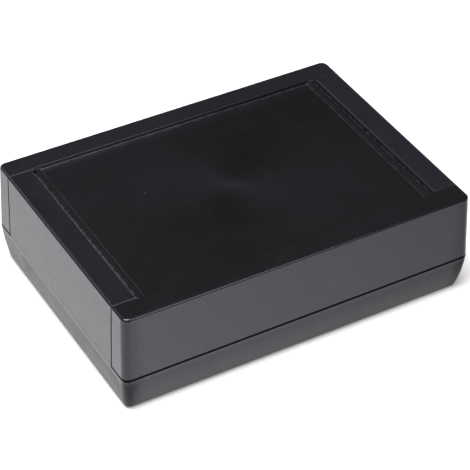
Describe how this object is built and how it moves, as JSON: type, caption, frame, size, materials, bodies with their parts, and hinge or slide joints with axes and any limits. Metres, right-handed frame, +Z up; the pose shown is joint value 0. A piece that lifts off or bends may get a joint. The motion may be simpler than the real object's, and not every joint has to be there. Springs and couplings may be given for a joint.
{
  "type": "moulded instrument housing",
  "caption": "Low two-shell moulded plastic enclosure with folded-over end walls, corner posts and a shallow recess for a panel on top.",
  "frame": {"origin": "middle of the underside, where the housing rests", "axes": "+X along the long side, -Y towards the front, +Z up through the panel recess"},
  "size_m": [0.14, 0.101, 0.042],
  "materials": {
    "base_abs": "black ABS, fine spark-eroded satin texture",
    "cover_abs": "black ABS, fine spark-eroded satin texture",
    "screw_steel": "bright zinc-plated steel"
  },
  "bodies": {
    "root": {"base": "base_abs", "cover": "cover_abs", "cover_screw_front_left": "screw_steel", "cover_screw_front_right": "screw_steel", "cover_screw_back_left": "screw_steel", "cover_screw_back_right": "screw_steel"}
  },
  "joints": []
}
